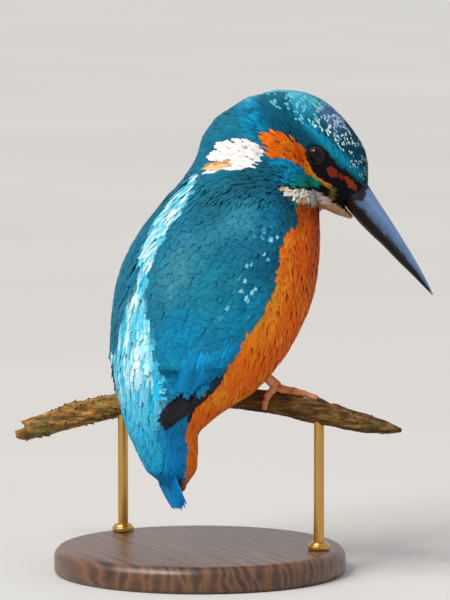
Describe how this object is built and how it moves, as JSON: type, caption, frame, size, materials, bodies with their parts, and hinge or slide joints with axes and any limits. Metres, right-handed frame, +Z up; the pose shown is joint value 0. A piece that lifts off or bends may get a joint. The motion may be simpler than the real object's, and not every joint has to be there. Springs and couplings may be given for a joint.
{
  "type": "common kingfisher on a perch",
  "caption": "Still, life-size common kingfisher looking down to its right, gripping a short cut branch that rods hold over a round flat base.",
  "frame": {"origin": "middle of the base's underside, on the floor", "axes": "+Z up; the bird's body faces -Y and its right side is towards -X; its head is turned to its right"},
  "size_m": [0.1157, 0.1022, 0.1383],
  "materials": {
    "crown_feathers": "matte",
    "mantle_feathers": "matte",
    "tail_feathers": "matte",
    "wing_feathers": "matte",
    "flight_feathers": "matte",
    "body_feathers": "matte",
    "bill_horn": "satin",
    "eye": "polished",
    "foot_skin": "satin",
    "claw_horn": "satin",
    "bark": "matte",
    "base_wood": "satin",
    "stand_brass": "satin"
  },
  "bodies": {
    "root": {"head": "crown_feathers", "neck": "mantle_feathers", "trunk": "body_feathers", "tail": "tail_feathers", "bill_upper": "bill_horn", "bill_lower": "bill_horn", "eye_right": "eye", "eye_left": "eye", "branch": "bark", "stand_base": "base_wood", "stand_rod_1": "stand_brass", "stand_rod_2": "stand_brass", "stand_collar_1": "stand_brass", "stand_collar_2": "stand_brass", "wing_right": "wing_feathers", "wing_right_flight": "flight_feathers", "thigh_right": "body_feathers", "tarsus_right": "foot_skin", "toe_right_inner": "foot_skin", "claw_right_inner": "claw_horn", "toe_right_middle": "foot_skin", "claw_right_middle": "claw_horn", "toe_right_outer": "foot_skin", "claw_right_outer": "claw_horn", "toe_right_hind": "foot_skin", "claw_right_hind": "claw_horn", "wing_left": "wing_feathers", "wing_left_flight": "flight_feathers", "thigh_left": "body_feathers", "tarsus_left": "foot_skin", "toe_left_inner": "foot_skin", "claw_left_inner": "claw_horn", "toe_left_middle": "foot_skin", "claw_left_middle": "claw_horn", "toe_left_outer": "foot_skin", "claw_left_outer": "claw_horn", "toe_left_hind": "foot_skin", "claw_left_hind": "claw_horn"}
  },
  "joints": []
}
